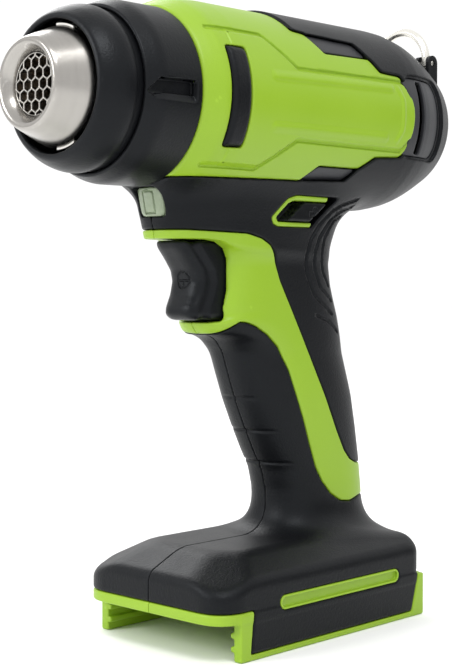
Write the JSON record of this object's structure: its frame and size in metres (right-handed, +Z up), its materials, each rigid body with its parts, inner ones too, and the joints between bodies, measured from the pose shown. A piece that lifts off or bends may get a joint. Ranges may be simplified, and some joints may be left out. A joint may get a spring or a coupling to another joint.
{
  "type": "heat gun",
  "caption": "Cordless pistol-grip heat gun with a steel nozzle, honeycomb outlet, trigger, lock-off button, work light, hanging ring and slide-on battery foot.",
  "frame": {"origin": "bottom centre of the bounding box, on the surface that the battery rails stand on", "axes": "+Z up, +X from the nozzle towards the rear of the barrel, +Y to the right-hand side of a user who points the nozzle away"},
  "size_m": [0.213, 0.0764, 0.2476],
  "materials": {
    "green_plastic": "satin moulded nylon",
    "black_rubber": "fine textured overmould",
    "black_plastic": "heat-resistant moulded plastic",
    "grey_plastic": "dark grey moulded plastic",
    "nozzle_steel": "turned and brushed",
    "ring_steel": "polished wire",
    "plain_steel": "plain",
    "zinc_steel": "zinc plated",
    "black_steel": "blackened",
    "mica": "mica board",
    "clear_lens": "frosted",
    "circuit_board": "solder mask",
    "board_part": "moulded",
    "led_chip": "clear",
    "contact_copper": "tinned copper",
    "wire_sheath": "silicone"
  },
  "bodies": {
    "housing": {"housing_left": "green_plastic", "housing_right": "green_plastic", "overmould_left": "black_rubber", "overmould_right": "black_rubber", "nozzle": "nozzle_steel", "honeycomb_grille": "nozzle_steel", "nozzle_clips": "ring_steel", "nozzle_guard": "black_plastic", "front_sleeve": "black_plastic", "heat_shield": "plain_steel", "heater_tube": "plain_steel", "mica_sleeve": "mica", "mica_cross": "mica", "heating_coil": "plain_steel", "thermal_fuse": "zinc_steel", "air_duct": "black_plastic", "motor_can": "zinc_steel", "motor_end_cap": "black_plastic", "motor_mount": "black_plastic", "switch_body": "black_plastic", "trigger_spring": "plain_steel", "lock_bezel_left": "green_plastic", "lock_bezel_right": "green_plastic", "led_lens": "clear_lens", "led_board": "circuit_board", "led_chip": "led_chip", "vent_grille_left": "grey_plastic", "vent_grille_right": "grey_plastic", "side_inlays_left": "grey_plastic", "side_inlays_right": "grey_plastic", "side_bar_left": "grey_plastic", "side_bar_right": "grey_plastic", "foot_trim_left": "green_plastic", "foot_trim_right": "green_plastic", "ring_bracket": "black_plastic", "terminal_block": "black_plastic", "contact_blades": "contact_copper", "control_board": "circuit_board", "board_parts": "board_part", "power_wires": "wire_sheath", "motor_wires": "wire_sheath", "housing_screws": "black_steel"},
    "trigger": {"trigger": "black_plastic", "switch_plunger": "black_plastic"},
    "fan_rotor": {"fan_impeller": "black_plastic", "motor_shaft": "plain_steel"},
    "lock_button": {"lock_button": "black_plastic"},
    "hang_ring": {"hang_ring": "ring_steel"}
  },
  "joints": [
    {"name": "trigger_pull", "type": "slide", "parent": "housing", "child": "trigger", "axis": [1, 0, 0], "range_m": [0, 0.006], "stiffness_N_per_m": 500, "springref_m": -0.004, "deforming": ["trigger_spring"]},
    {"name": "lock_push", "type": "slide", "parent": "housing", "child": "lock_button", "axis": [0, 1, 0], "range_m": [0, 0.003]},
    {"name": "fan_spin", "type": "hinge", "parent": "housing", "child": "fan_rotor", "pos_m": [0, 0, 0.204], "axis": [1, 0, 0], "continuous": true},
    {"name": "ring_swing", "type": "hinge", "parent": "housing", "child": "hang_ring", "pos_m": [0.1024, 0, 0.231], "axis": [0, 1, 0], "range_deg": [-25, 100]}
  ]
}
